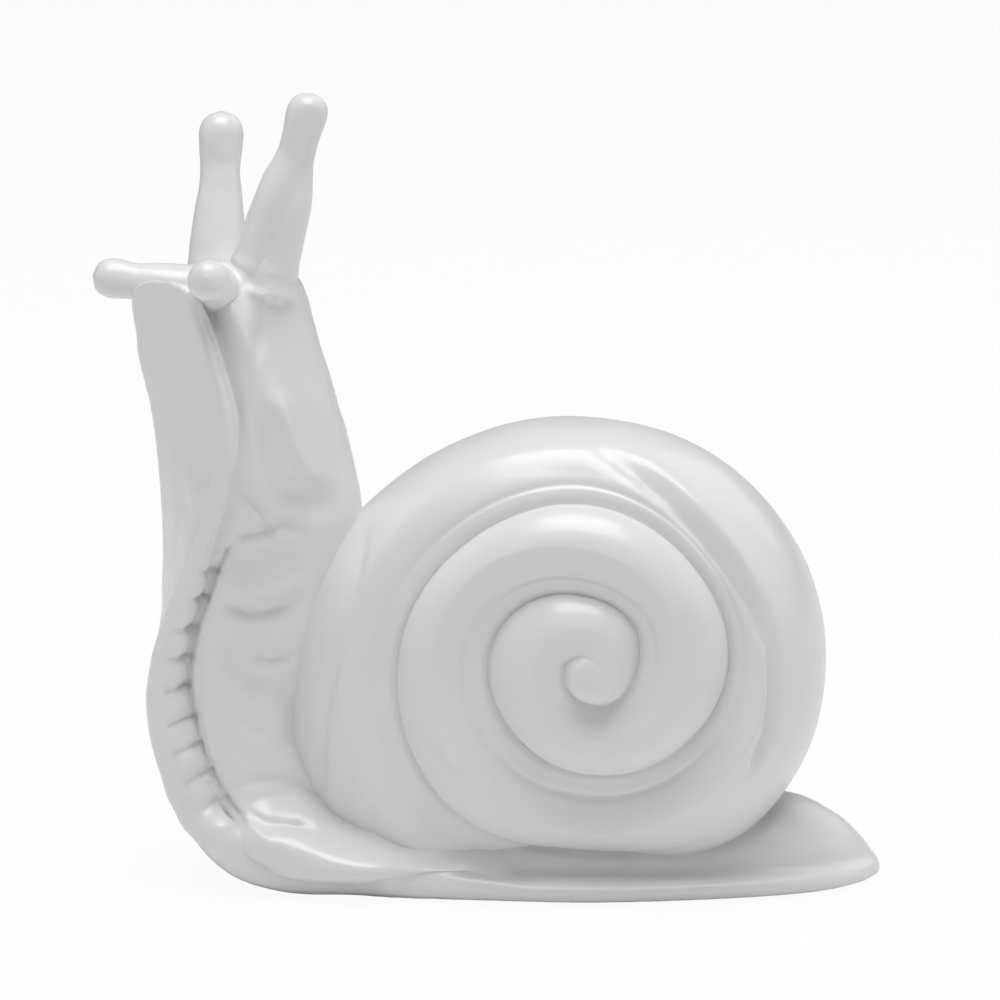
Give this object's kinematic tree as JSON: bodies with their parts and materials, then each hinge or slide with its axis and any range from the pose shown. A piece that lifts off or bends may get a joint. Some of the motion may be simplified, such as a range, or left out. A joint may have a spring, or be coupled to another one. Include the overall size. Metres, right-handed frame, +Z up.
{
  "type": "snail figurine",
  "caption": "Glossy white snail figurine: raised neck, eye tentacles, coiled shell seated on a flat foot with a felt underside.",
  "frame": {"origin": "on the underside of the felt, the face that the figurine rests on, near the middle of the foot below the shell", "axes": "+X towards the tail, -Y on the snail's left, the side where the shell's spiral shows, +Z up"},
  "size_m": [0.1354, 0.0591, 0.137],
  "materials": {
    "white_resin": "glossy white lacquer on cast resin",
    "pin_steel": "drawn wire",
    "felt": "short grey felt"
  },
  "bodies": {
    "root": {"body": "white_resin", "shell": "white_resin", "upper_tentacle_left": "white_resin", "upper_tentacle_right": "white_resin", "lower_tentacle_left": "white_resin", "lower_tentacle_right": "white_resin", "upper_pin_left": "pin_steel", "upper_pin_right": "pin_steel", "lower_pin_left": "pin_steel", "lower_pin_right": "pin_steel", "shell_dowel_front": "pin_steel", "shell_dowel_rear": "pin_steel", "felt_base": "felt"}
  },
  "joints": []
}
